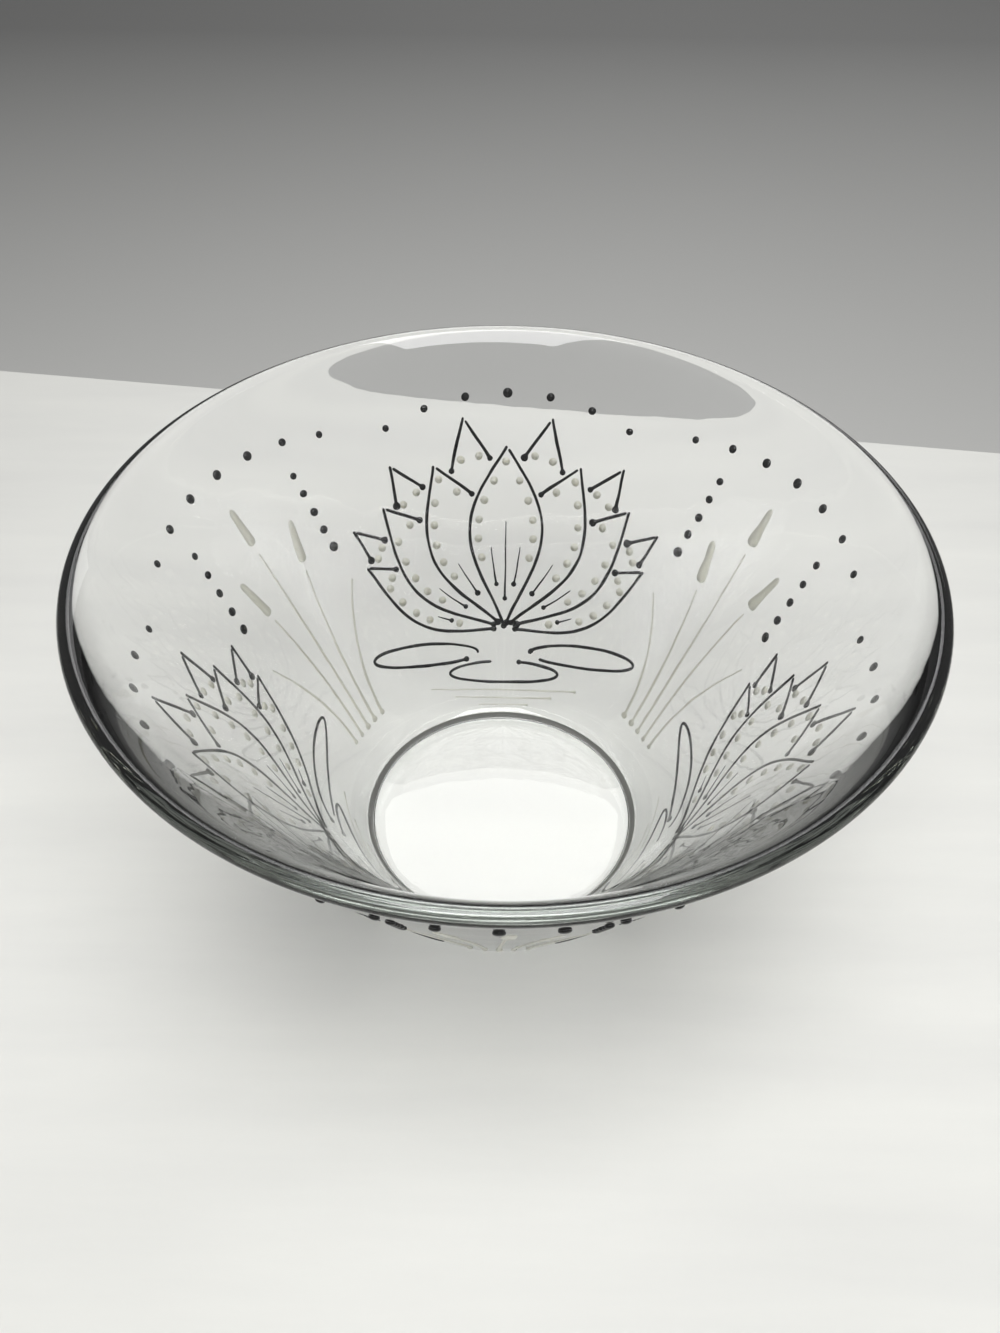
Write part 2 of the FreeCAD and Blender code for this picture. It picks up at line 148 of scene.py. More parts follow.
# White painted table top: satin, with long faint brush marks
whiteTable, tree, colour, _, brushed = matteStage("whitePaintedTable", s["tableRoughness"], s["tableBrush"])
tone = addNode(tree, "ShaderNodeMapRange", {"From Min": noiseMiddle[0], "From Max": noiseMiddle[1]},
               {"Value": brushed})
shade = addNode(tree, "ShaderNodeMix", {"data_type": "RGBA", 6: linearColour(s["tableColours"][0]),
                                         7: linearColour(s["tableColours"][1])}, {0: tone})
tree.links.new(shade.outputs[2], colour)
table.data.materials.append(whiteTable)
size, down = s["floorSize"], -s["floorBelow"]
floorCorners = [(x * size, y * size, down) for x, y in ((-1, -1), (1, -1), (1, 1), (-1, 1))]
ground = meshObject("floor", floorCorners, [], [(0, 1, 2, 3)], False)
# Matte grey floor, with painted shade: its colour darkens away from the light
greyFloor, tree, colour, place, _ = matteStage("greyFloor", s["floorRoughness"], s["floorBrush"])
apart = addNode(tree, "ShaderNodeSeparateXYZ", links={0: place})
away = addNode(tree, "ShaderNodeMapRange", {"From Min": s["tableEdge"], "From Max": s["farAway"]},
               {"Value": apart.outputs["Y"]})
shade = addNode(tree, "ShaderNodeMix", {"data_type": "RGBA", 6: linearColour(s["floorNear"]),
                                         7: linearColour(s["floorFar"])}, {0: away})
tree.links.new(shade.outputs[2], colour)
ground.data.materials.append(greyFloor)

# Light: a low window behind, a softbox that the base mirrors, one over the front, and a dim sky

light = {
    # distance, degrees up, degrees to the right of straight behind, width, height, power
    "softWindow": (2.6, 24.0, 14.0, 2.0, 1.2, 10.0),
    "softboxBehind": (1.35, 46.0, 0.0, 0.48, 0.7, 2.6),
    "softboxFront": (0.8, 72.0, 170.0, 0.46, 0.46, 4.7),
}
sky = {"top": 0.5, "horizon": 0.36, "frontShare": 0.45, "topRise": (0.05, 0.7), "frontReach": (-1.0, 0.3)}
for name, (away, rise, turned, wide, tall, power) in light.items():
    lamp = bpy.data.lights.new(name, "AREA")
    lamp.shape = "RECTANGLE"
    lamp.size, lamp.size_y, lamp.energy = wide, tall, power
    source = bpy.data.objects.new(name, lamp)
    rise, turned = math.radians(rise), math.radians(turned)
    source.location = Vector((math.cos(rise) * math.sin(turned), math.cos(rise) * math.cos(turned),
                              math.sin(rise))) * away
    source.rotation_euler = (-source.location).to_track_quat("-Z", "Y").to_euler()
    bpy.context.scene.collection.objects.link(source)

world = bpy.data.worlds.new("studio")
bpy.context.scene.world = world
world.use_nodes = True
tree = world.node_tree
tree.nodes.clear()
way = addNode(tree, "ShaderNodeTexCoord").outputs["Generated"]
way = addNode(tree, "ShaderNodeSeparateXYZ", links={0: way})
height = addNode(tree, "ShaderNodeMapRange",
                 {"interpolation_type": "SMOOTHSTEP", "From Min": sky["topRise"][0],
                  "From Max": sky["topRise"][1], "To Min": sky["horizon"], "To Max": sky["top"]},
                 {"Value": way.outputs["Z"]})
front = addNode(tree, "ShaderNodeMapRange",
                {"From Min": sky["frontReach"][0], "From Max": sky["frontReach"][1],
                 "To Min": sky["frontShare"], "To Max": 1.0}, {"Value": way.outputs["Y"]})
level = addNode(tree, "ShaderNodeMath", {"operation": "MULTIPLY"}, {0: height, 1: front})
background = addNode(tree, "ShaderNodeBackground", links={"Strength": level})
addNode(tree, "ShaderNodeOutputWorld", links={"Surface": background})
bpy.context.scene.view_settings.view_transform = "Standard"
print("stage and light set")

# Glass bowl: one turned profile, pressed and fire-polished

glass = {
    "rimRadius": 115 * mm, "height": 125 * mm, "footRadius": 51 * mm,
    "lip": 4.6 * mm, "lipTaperLength": 6 * mm, "lipEase": 4 * mm, "easeTries": 20,
    "wall": 5.8 * mm, "footWall": 8.6 * mm,
    "fullness": 0.75 * mm,       # by which the inner wall's middle stands proud of a straight line
    "floor": 8 * mm, "blend": 5 * mm, "footRound": 2 * mm, "puntRadius": 44.5 * mm, "puntDepth": 1.2 * mm,
    "around": 288, "arcSteps": 12, "wallSteps": 60, "floorSteps": 8,
    "wallCrowding": 1.5,         # above 1, the inner wall's rings crowd towards the lip
    "waveDepth": 0.06 * mm, "waveLength": (16 * mm, 5 * mm), "fineShare": 0.35, "waveFade": 6 * mm,
    "roughness": (0.0, 0.02), "polishWidth": 11.1 * mm, "polishDepth": 0.1 * mm,
    "tint": "#B8DCC8", "tintDensity": 2.0, "refraction": 1.52,
    "shadowPass": 0.44,          # of a lamp's light, at each surface
}
lipRadius = glass["lip"] / 2
lipCentre = Vector((glass["rimRadius"] - lipRadius, glass["height"] - lipRadius))
footCentre = Vector((glass["footRadius"] - glass["footRound"], glass["footRound"]))
reach = lipCentre - footCentre
slope = math.atan2(reach.y, reach.x) + math.asin((glass["footRound"] - lipRadius) / reach.length)
wallWay = Vector((math.cos(slope), math.sin(slope)))
wallNormal = Vector((math.sin(slope), -math.cos(slope)))
wallFoot = footCentre + wallNormal * glass["footRound"]
wallLength = (lipCentre + wallNormal * lipRadius - wallFoot).length


def tiltFor(along, beside, distance):
    return math.atan2(along, beside) - math.acos(distance / math.hypot(along, beside))


taper = tiltFor(glass["lipTaperLength"], lipRadius, glass["wall"] - lipRadius)
along = wallLength + lipRadius * math.sin(taper) - glass["lipTaperLength"] * math.cos(taper)
innerSlope = slope - tiltFor(along, glass["wall"], glass["footWall"])
innerNormal = Vector((math.sin(innerSlope), -math.cos(innerSlope)))
taperFoot = wallFoot + wallWay * along - wallNormal * glass["wall"]


def bowlProfile(g):
    lean, innerLean = slope - math.pi / 2, innerSlope - math.pi / 2
    blendY = g["floor"] + g["blend"]
    blendX = (taperFoot.dot(innerNormal) - g["blend"] - blendY * innerNormal.y) / innerNormal.x
    step = g["puntDepth"] / 2

    def arc(centre, radius, start, end):
        turns = [start + (end - start) * i / g["arcSteps"] for i in range(g["arcSteps"] + 1)]
        return [Vector(centre) + Vector((math.cos(t), math.sin(t))) * radius for t in turns]

    def straight(a, b, n):
        return [a + (b - a) * i / n for i in range(1, n)]

    points = [Vector((0, 2 * step))]
    points += straight(points[-1], Vector((g["puntRadius"] - step, 2 * step)), g["floorSteps"])
    points += arc((g["puntRadius"] - step, step), step, math.pi / 2, 0)
    points += arc((g["puntRadius"] + step, step), step, math.pi, 1.5 * math.pi)[1:]
    points += arc(footCentre, g["footRound"], -math.pi / 2, lean)
    ease, short = 0.0, (lipCentre - taperFoot).dot(innerNormal)
    for _ in range(g["easeTries"]):        # angle at which the eased taper leaves the lip's round
        ease = math.atan((short - lipRadius * math.cos(ease)) / g["lipEase"])
    lip = arc(lipCentre, lipRadius, lean, innerLean + math.pi - ease)
    points += straight(points[-1], lip[0], g["wallSteps"]) + lip
    corner = arc((blendX, blendY), g["blend"], innerLean, -math.pi / 2)
    gap = (lip[-1] - taperFoot).dot(innerNormal)
    top = lip[-1] - innerNormal * gap
    for i in range(1, g["wallSteps"]):
        share = (i / g["wallSteps"]) ** g["wallCrowding"]
        down = (corner[0] - top) * share
        fuller = 4 * g["fullness"] * share * (1 - share)
        points.append(top + down + innerNormal * (gap * math.exp(-down.length / g["lipEase"]) - fuller))
    points += corner
    centre = Vector((0, g["floor"]))
    points += straight(points[-1], centre, g["floorSteps"]) + [centre]
    return points


def waveDepth(g, x, y, z):                 # chill marks of the press, none at the lip or the foot
    fade = min(1.0, max(0.0, min(g["height"] - z - g["lip"], z - 2 * g["footRound"]) / g["waveFade"]))
    broad, fine = (noise.noise(Vector((x, y, z)) / length) for length in g["waveLength"])
    return g["waveDepth"] * fade * (1 + broad + g["fineShare"] * fine)


def turnedMesh(name, points, g):
    rings, around = points[1:-1], g["around"]
    vertices = [(0, 0, points[0].y), (0, 0, points[-1].y)]
    turns = [2 * math.pi * k / around for k in range(around)]
    for p in rings:
        for t in turns:
            x, y = p.x * math.cos(t), p.x * math.sin(t)
            share = 1 - waveDepth(g, x, y, p.y) / p.x
            vertices.append((x * share, y * share, p.y))
    faces = []
    for k in range(around):
        after = (k + 1) % around
        last = 2 + (len(rings) - 1) * around
        faces += [(0, 2 + after, 2 + k), (last + k, last + after, 1)]
        for r in range(len(rings) - 1):
            a, b = 2 + r * around, 2 + (r + 1) * around
            faces.append((a + k, a + after, b + after, b + k))
    return meshObject(name, vertices, [], faces)


# Clear soda-lime glass, pressed and fire-polished: bright faces, grey-green where it is seen edge-on
def clearGlass(g):
    material, tree = newMaterial("clearSodaLimeGlass")
    place = addNode(tree, "ShaderNodeTexCoord").outputs["Object"]
    polish = addNode(tree, "ShaderNodeTexNoise", {"Scale": 1 / g["polishWidth"], "Detail": 2.0},
                     {"Vector": place})
    gloss = addNode(tree, "ShaderNodeMapRange", {"To Min": g["roughness"][0], "To Max": g["roughness"][1]},
                    {"Value": polish})
    relief = addNode(tree, "ShaderNodeBump", {"Strength": 0.2, "Distance": g["polishDepth"]},
                     {"Height": polish})
    shader = addNode(tree, "ShaderNodeBsdfPrincipled",
                     {"Base Color": (1, 1, 1, 1), "IOR": g["refraction"], "Transmission Weight": 1.0},
                     {"Roughness": gloss, "Normal": relief})
    # lamps shine on through the glass, so that its shadow is as light as a clear bowl's
    passed = addNode(tree, "ShaderNodeBsdfTransparent", {"Color": (*[g["shadowPass"]] * 3, 1)})
    lampRay = addNode(tree, "ShaderNodeLightPath").outputs["Is Shadow Ray"]
    lit = addNode(tree, "ShaderNodeMixShader", links={0: lampRay, 1: shader, 2: passed})
    tint = addNode(tree, "ShaderNodeVolumeAbsorption",
                   {"Color": linearColour(g["tint"]), "Density": g["tintDensity"]})
    addNode(tree, "ShaderNodeOutputMaterial", links={"Surface": lit, "Volume": tint})
    return material


bowl = turnedMesh("glassBowl", bowlProfile(glass), glass)
bowl.data.materials.append(clearGlass(glass))
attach(bowl, "root")
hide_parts("glass_bowl")
print("glass bowl turned")

# Flat drawing of the decoration: across to the right, up along the wall from the foot's edge

layout = {"repeats": 3, "firstBlossom": 90.0, "blossomBase": 0.24, "reedBase": 0.11}
slantToFoot = wallFoot.x / math.cos(slope)
apexHeight = wallFoot.y - wallFoot.x * math.tan(slope)

drawing = {
    "steps": 60, "lineRoom": 0.9 * mm, "tipRoom": 0.4 * mm, "dotRoom": 2.3 * mm, "dotGap": 0.25 * mm,
    "veinRoom": 2.7 * mm, "shortest": 3 * mm,
}
blossom = {
    "length": 66 * mm, "width": 26.5 * mm, "fullness": 1.15, "point": 1.12,
    "lineWidth": 1.2 * mm, "veinWidth": 0.8 * mm, "dotAcross": 2.9 * mm, "dotInset": 3.0 * mm,
    # lean from upright in degrees, then shares: length, width, curl; front petals first
    "petals": (
        (0, 1.00, 1.00, 0.00), (27, 0.98, 0.98, -0.05), (52, 0.96, 0.86, -0.12), (76, 0.86, 0.66, -0.20),
        (13, 1.17, 0.84, -0.02), (40, 1.10, 0.80, -0.08), (65, 1.02, 0.66, -0.15)),
    # place across as a share of the petal's half width, then start and end along it
    "veins": ((0.0, 0.16, 0.60), (0.42, 0.24, 0.46), (-0.42, 0.24, 0.46)),
    "dotsPerEdge": 7, "firstDot": 0.30, "lastDot": 0.92,
    "fan": (7, 62.0, 1.27),      # drops, degrees they span, radius as a share of the length
}
pads = {
    "width": 42 * mm, "height": 8 * mm, "notch": 26.0,
    # shares of the pad's width and height from the blossom's base, and the notch's angle
    "places": ((0.74, -1.10, 200), (-0.74, -1.10, -20), (0.0, -2.05, 90)),
}
ripples = {"length": 58 * mm, "spacing": 3.6 * mm, "shares": (1.0, 0.66, 0.34), "drop": 2.75, "sag": 0.05}
reeds = {
    "length": 92 * mm, "spacing": 4.4 * mm, "headLength": 15 * mm, "headWidth": 4.2 * mm, "withHeads": 3,
    # place across in spacings, length share, bend share
    "blades": ((0, 1.00, 0.03), (-1, 0.84, -0.14), (1, 0.78, 0.15), (-2, 0.52, -0.34), (2, 0.48, 0.36)),
    "fan": (7, 46.0, 1.12),
    "row": (5, 0.27, 0.66, 0.96),  # drops, then shares of the length: out, first up, last up
}
drops = {"across": 3.2 * mm, "smallest": 0.75}


def gapBetween(a, b):
    return math.hypot(a[0] - b[0], a[1] - b[1])


def nearest(point, lines):
    return min((gapBetween(point, other) for line in lines for other in line), default=math.inf)


def petalPoint(petal, side, along, across):
    lean, lengthShare, _, curl = petal
    angle, length = math.radians(lean), blossom["length"] * lengthShare
    sideways = curl * length * along ** 2 + across
    return (side * (length * along * math.sin(angle) + sideways * math.cos(angle)),
            length * along * math.cos(angle) - sideways * math.sin(angle))


def petalHalf(petal, along):
    swell = max(0.0, math.sin(math.pi * along ** blossom["fullness"])) ** blossom["point"]
    return blossom["width"] / 2 * petal[2] * swell


def petalCovers(petal, side, point):
    lean, lengthShare, _, curl = petal
    angle, length = math.radians(lean), blossom["length"] * lengthShare
    across, upward = side * point[0], point[1]
    along = (across * math.sin(angle) + upward * math.cos(angle)) / length
    if not 0 < along < 1:
        return False
    sideways = across * math.cos(angle) - upward * math.sin(angle) - curl * length * along ** 2
    return abs(sideways) < petalHalf(petal, along)


def visibleRuns(points, keep):
    runs, run = [], []
    for point in points:
        if keep(point):
            run.append(point)
        elif run:
            runs.append(run)
            run = []
    runs += [run] if run else []
    lengths = [sum(gapBetween(a, b) for a, b in zip(r, r[1:])) for r in runs]
    return [r for r, length in zip(runs, lengths) if len(r) > 1 and length > drawing["shortest"]]


def blossomDrawing():
    front, edgeLines, edges, veins, dots = [], [], [], [], []
    for petal in blossom["petals"]:
        for side in ((1, -1) if petal[0] else (1,)):
            def clear(point):
                return not any(petalCovers(p, s, point) for p, s in front)

            def lineAt(share, start, end):
                steps = [start + (end - start) * i / drawing["steps"] for i in range(drawing["steps"] + 1)]
                return [petalPoint(petal, side, t, share * petalHalf(petal, t)) for t in steps]

            outline = [lineAt(edge, 0, 1) for edge in (1, -1)]
            tip, root = outline[0][-1], outline[0][0]
            for index, line in enumerate(outline):
                def keep(point):
                    toEnds = min(gapBetween(point, tip), gapBetween(point, root))
                    drawn = index and toEnds < drawing["tipRoom"]
                    return clear(point) and not drawn and nearest(point, edgeLines) > drawing["lineRoom"]
                edges += visibleRuns(line, keep)
            for vein in blossom["veins"]:
                veins += visibleRuns(lineAt(*vein), lambda p: clear(p)
                                     and nearest(p, edgeLines + outline) > drawing["veinRoom"])
            for edge in (1, -1):
                for i in range(blossom["dotsPerEdge"]):
                    share = i / (blossom["dotsPerEdge"] - 1)
                    t = blossom["firstDot"] + (blossom["lastDot"] - blossom["firstDot"]) * share
                    inset = petalHalf(petal, t) - blossom["dotInset"]
                    point = petalPoint(petal, side, t, edge * inset)
                    crowded = nearest(point, [dots]) < blossom["dotAcross"] + drawing["dotGap"]
                    if inset > 0 and clear(point) and not crowded \
                            and nearest(point, edgeLines + outline + veins) > drawing["dotRoom"]:
                        dots.append(point)
            front.append((petal, side))
            edgeLines += outline
    return edges, veins, dots


def padDrawing():
    outlines = []
    for acrossShare, upShare, notch in pads["places"]:
        sweep = 360.0 - pads["notch"]
        turns = [math.radians(notch + pads["notch"] / 2 + sweep * i / drawing["steps"])
                 for i in range(drawing["steps"] + 1)]
        outlines.append([(pads["width"] * (acrossShare + math.cos(t) / 2),
                          pads["height"] * (upShare + math.sin(t) / 2)) for t in turns])
    return outlines


def rippleDrawing():
    lines = []
    for row, share in enumerate(ripples["shares"]):
        half = ripples["length"] * share / 2
        level = -ripples["drop"] * pads["height"] - row * ripples["spacing"]
        steps = [2 * i / drawing["steps"] - 1 for i in range(drawing["steps"] + 1)]
        lines.append([(half * s, level - ripples["sag"] * half * (1 - s * s)) for s in steps])
    return lines


def reedDrawing():
    blades, heads = [], []
    for row, (place, share, bend) in enumerate(reeds["blades"]):
        length = reeds["length"] * share
        steps = [i / drawing["steps"] for i in range(drawing["steps"] + 1)]
        line = [(place * reeds["spacing"] + bend * length * t * t, length * t) for t in steps]
        if row < reeds["withHeads"]:
            headStart = 1 - reeds["headLength"] / length
            heads.append([p for p, t in zip(line, steps) if t >= headStart])
            line = [p for p, t in zip(line, steps) if t <= headStart - drawing["lineRoom"] / length]
        blades.append(line)
    return blades, heads


def fanOfDrops(count, span, radius):
    places = []
    for i in range(count):
        away = 2 * i / (count - 1) - 1
        angle = math.radians(span / 2 * away)
        places.append((radius * math.sin(angle), radius * math.cos(angle),
                       drops["across"] * (1 - (1 - drops["smallest"]) * abs(away))))
    return places


def rowsOfDrops():
    count, out, first, last = reeds["row"]
    return [(side * out * reeds["length"], (first + (last - first) * i / (count - 1)) * reeds["length"],
             drops["across"] * (1 - (1 - drops["smallest"]) * i / (count - 1)))
            for side in (-1, 1) for i in range(count)]


# Geometry Nodes: paste squeezed along a flat drawing, then rolled onto the cone of the wall

def newTree(name, inputs, outputs):
    tree = bpy.data.node_groups.new(name, "GeometryNodeTree")
    for way, sockets in (("INPUT", inputs), ("OUTPUT", outputs)):
        for socketName, kind in sockets.items():
            tree.interface.new_socket(socketName, in_out=way, socket_type="NodeSocket" + kind)
    sockets = tree.nodes.new("NodeGroupInput").outputs
    return tree, {socket.name: socket for socket in sockets if socket.name}


def addRows(tree, known, rows):            # each row: its name, node, settings, and what feeds it by name
    for name, kind, settings, links in rows:
        node = addNode(tree, kind, settings, {socket: known[source] for socket, source in links.items()})
        known[name] = node.outputs[0] if len(node.outputs) else node
        known.update({name + "." + output.name: output for output in node.outputs if output.enabled})


sumNode = "ShaderNodeMath"
wallInputs = {"Turn": "Float", "Base": "Float", "Slope": "Float", "Foot Slant": "Float",
              "Apex Height": "Float"}
rollTree, known = newTree("rollOntoWall", {"Flat Place": "Vector", **wallInputs}, {"Place": "Vector"})
addRows(rollTree, known, (
    ("flat", "ShaderNodeSeparateXYZ", {}, {0: "Flat Place"}),
    ("fromFoot", sumNode, {"operation": "ADD"}, {0: "flat.Y", 1: "Base"}),
    ("fromApex", sumNode, {"operation": "ADD"}, {0: "fromFoot", 1: "Foot Slant"}),
    ("squareX", sumNode, {"operation": "MULTIPLY"}, {0: "flat.X", 1: "flat.X"}),
    ("squares", sumNode, {"operation": "MULTIPLY_ADD"}, {0: "fromApex", 1: "fromApex", 2: "squareX"}),
    ("slant", sumNode, {"operation": "SQRT"}, {0: "squares"}),
    ("cosine", sumNode, {"operation": "COSINE"}, {0: "Slope"}),
    ("sine", sumNode, {"operation": "SINE"}, {0: "Slope"}),
    ("flatAngle", sumNode, {"operation": "ARCTAN2"}, {0: "flat.X", 1: "fromApex"}),
    ("rolled", sumNode, {"operation": "DIVIDE"}, {0: "flatAngle", 1: "cosine"}),
    ("angle", sumNode, {"operation": "ADD"}, {0: "rolled", 1: "Turn"}),
    ("outward", sumNode, {"operation": "MULTIPLY"}, {0: "flat.Z", 1: "sine"}),
    ("radius", sumNode, {"operation": "MULTIPLY_ADD"}, {0: "slant", 1: "cosine", 2: "outward"}),
    ("downward", sumNode, {"operation": "MULTIPLY"}, {0: "flat.Z", 1: "cosine"}),
    ("raised", sumNode, {"operation": "MULTIPLY_ADD"}, {0: "slant", 1: "sine", 2: "Apex Height"}),
    ("level", sumNode, {"operation": "SUBTRACT"}, {0: "raised", 1: "downward"}),
    ("cosAngle", sumNode, {"operation": "COSINE"}, {0: "angle"}),
    ("sinAngle", sumNode, {"operation": "SINE"}, {0: "angle"}),
    ("placeX", sumNode, {"operation": "MULTIPLY"}, {0: "radius", 1: "cosAngle"}),
    ("placeY", sumNode, {"operation": "MULTIPLY"}, {0: "radius", 1: "sinAngle"}),
    ("place", "ShaderNodeCombineXYZ", {}, {"X": "placeX", "Y": "placeY", "Z": "level"}),
    ("result", "NodeGroupOutput", {}, {"Place": "place"}),
))

stroke = {
    "pressure": (0.84, 1.16),        # shares of the line's width, as the hand presses less or more
    "blobSizes": (0.75, 1.15),       # shares of the blob's width, from stroke to stroke
    "thinnest": 0.04 * mm, "domeSteps": 9,
    "slump": 3.0,                    # line heights from which a blob sinks to half
}
lineInputs = {"Drawing": "Geometry", "Line Width": "Float", "Line Height": "Float", "Blob Width": "Float",
              "Tail Share": "Float", "Point Gap": "Float", "Wobble": "Float", "Wobble Length": "Float",
              "Sink": "Float", "Seed": "Int", **wallInputs, "Paste": "Material"}
lineTree, known = newTree("squeezedLines", lineInputs, {"Paste Lines": "Geometry"})
addRows(lineTree, known, (
    ("asCurves", "GeometryNodeMeshToCurve", {}, {"Mesh": "Drawing"}),
    ("fine", "GeometryNodeResampleCurve", {"mode": "LENGTH"}, {"Curve": "asCurves", "Length": "Point Gap"}),
    # the hand's wobble, and a steadier change of pressure
    ("where", "GeometryNodeInputPosition", {}, {}),
    ("waves", sumNode, {"operation": "DIVIDE", 0: 1.0}, {1: "Wobble Length"}),
    ("handNoise", "ShaderNodeTexNoise", {"noise_dimensions": "4D", "Detail": 1.0},
     {"Vector": "where", "W": "Seed", "Scale": "waves"}),
    ("centred", "ShaderNodeVectorMath", {"operation": "SUBTRACT", 1: (0.5, 0.5, 0.5)},
     {0: "handNoise.Color"}),
    ("flatNoise", "ShaderNodeVectorMath", {"operation": "MULTIPLY", 1: (1.0, 1.0, 0.0)}, {0: "centred"}),
    ("sway", "ShaderNodeVectorMath", {"operation": "SCALE"}, {0: "flatNoise", "Scale": "Wobble"}),
    ("drawn", "GeometryNodeSetPosition", {}, {"Geometry": "fine", "Offset": "sway"}),
    ("pressure", "ShaderNodeMapRange",
     {"From Min": noiseMiddle[0], "From Max": noiseMiddle[1], "To Min": stroke["pressure"][0],
      "To Max": stroke["pressure"][1]}, {"Value": "handNoise.Fac"}),
    # half width along the stroke: a blob where it starts, an even line, a rounded tail
    ("along", "GeometryNodeSplineParameter", {}, {}),
    ("whole", "GeometryNodeSplineLength", {}, {}),
    ("left", sumNode, {"operation": "SUBTRACT"}, {0: "whole.Length", 1: "along.Length"}),
    ("half", sumNode, {"operation": "MULTIPLY", 1: 0.5}, {0: "Line Width"}),
    ("tail", "ShaderNodeMapRange", {"From Min": 0.0, "From Max": 1.0, "To Min": 1.0},
     {"Value": "along.Factor", "To Max": "Tail Share"}),
    ("evened", sumNode, {"operation": "MULTIPLY"}, {0: "half", 1: "tail"}),
    ("pressed", sumNode, {"operation": "MULTIPLY"}, {0: "evened", 1: "pressure"}),
    ("endShare", sumNode, {"operation": "DIVIDE", "use_clamp": True}, {0: "left", 1: "half"}),
    ("endAway", sumNode, {"operation": "SUBTRACT", 0: 1.0}, {1: "endShare"}),
    ("endSquare", sumNode, {"operation": "MULTIPLY"}, {0: "endAway", 1: "endAway"}),
    ("endRest", sumNode, {"operation": "SUBTRACT", 0: 1.0}, {1: "endSquare"}),
    ("endRound", sumNode, {"operation": "SQRT"}, {0: "endRest"}),
    ("startShare", sumNode, {"operation": "DIVIDE", "use_clamp": True}, {0: "along.Length", 1: "half"}),
    ("startAway", sumNode, {"operation": "SUBTRACT", 0: 1.0}, {1: "startShare"}),
    ("startSquare", sumNode, {"operation": "MULTIPLY"}, {0: "startAway", 1: "startAway"}),
    ("startRest", sumNode, {"operation": "SUBTRACT", 0: 1.0}, {1: "startSquare"}),
    ("startRound", sumNode, {"operation": "SQRT"}, {0: "startRest"}),
    ("rounded", sumNode, {"operation": "MULTIPLY"}, {0: "endRound", 1: "startRound"}),
    ("line", sumNode, {"operation": "MULTIPLY"}, {0: "pressed", 1: "rounded"}),
    ("which", "GeometryNodeCurveOfPoint", {}, {}),
    ("mood", "FunctionNodeRandomValue",
     {"data_type": "FLOAT", 2: stroke["blobSizes"][0], 3: stroke["blobSizes"][1]},
     {"ID": "which.Curve Index", "Seed": "Seed"}),
    ("blobFull", sumNode, {"operation": "MULTIPLY", 1: 0.5}, {0: "Blob Width"}),
    ("blobHalf", sumNode, {"operation": "MULTIPLY"}, {0: "blobFull", 1: "mood.Value"}),
    ("blobAway", sumNode, {"operation": "SUBTRACT"}, {0: "along.Length", 1: "blobHalf"}),
    ("blobSquare", sumNode, {"operation": "MULTIPLY"}, {0: "blobAway", 1: "blobAway"}),
    ("blobFullSquare", sumNode, {"operation": "MULTIPLY"}, {0: "blobHalf", 1: "blobHalf"}),
    ("blobRest", sumNode, {"operation": "SUBTRACT"}, {0: "blobFullSquare", 1: "blobSquare"}),
    ("blobInside", sumNode, {"operation": "MAXIMUM", 1: 0.0}, {0: "blobRest"}),
    ("blob", sumNode, {"operation": "SQRT"}, {0: "blobInside"}),
    ("joined", sumNode, {"operation": "SMOOTH_MAX"}, {0: "line", 1: "blob", 2: "half"}),
    ("larger", sumNode, {"operation": "MAXIMUM"}, {0: "line", 1: "blob"}),
    ("blobOrLine", "ShaderNodeMix", {"data_type": "FLOAT"}, {0: "rounded", 2: "larger", 3: "joined"}),
    ("section", sumNode, {"operation": "MAXIMUM", 1: stroke["thinnest"]}, {0: "blobOrLine"}),
    ("standing", "GeometryNodeSetCurveNormal", {"mode": "Z_UP"}, {"Curve": "drawn"}),
    # a D section with its flat back on the glass
    ("dome", "GeometryNodeCurveArc",
     {"mode": "RADIUS", "Resolution": stroke["domeSteps"], "Radius": 1.0, "Start Angle": math.pi,
      "Sweep Angle": math.pi, "Connect Center": True}, {}),
    ("steepness", sumNode, {"operation": "DIVIDE"}, {0: "Line Height", 1: "half"}),
    ("stretch", "ShaderNodeCombineXYZ", {"X": 1.0, "Z": 1.0}, {"Y": "steepness"}),
    ("profile", "GeometryNodeTransform", {}, {"Geometry": "dome", "Scale": "stretch"}),
    ("swept", "GeometryNodeCurveToMesh", {"Fill Caps": True},
     {"Curve": "standing", "Profile Curve": "profile", "Scale": "section"}),
    # thick blobs slump, so height gains less than width does
    ("flat", "ShaderNodeSeparateXYZ", {}, {0: "where"}),
    ("slumpLimit", sumNode, {"operation": "MULTIPLY", 1: stroke["slump"]}, {0: "Line Height"}),
    ("slumpShare", sumNode, {"operation": "DIVIDE"}, {0: "flat.Z", 1: "slumpLimit"}),
    ("slumpMore", sumNode, {"operation": "ADD", 1: 1.0}, {0: "slumpShare"}),
    ("slumped", sumNode, {"operation": "DIVIDE"}, {0: "flat.Z", 1: "slumpMore"}),
    ("seated", sumNode, {"operation": "SUBTRACT"}, {0: "slumped", 1: "Sink"}),
    ("flatPlace", "ShaderNodeCombineXYZ", {}, {"X": "flat.X", "Y": "flat.Y", "Z": "seated"}),
    ("roll", "GeometryNodeGroup", {"node_tree": rollTree},
     {"Flat Place": "flatPlace", **{name: name for name in wallInputs}}),
    ("onWall", "GeometryNodeSetPosition", {}, {"Geometry": "swept", "Position": "roll"}),
    ("smooth", "GeometryNodeSetShadeSmooth", {}, {"Geometry": "onWall"}),
    ("real", "GeometryNodeRealizeInstances", {}, {"Geometry": "smooth"}),
    ("finished", "GeometryNodeSetMaterial", {}, {"Geometry": "real", "Material": "Paste"}),
    ("result", "NodeGroupOutput", {}, {"Paste Lines": "finished"}),
))

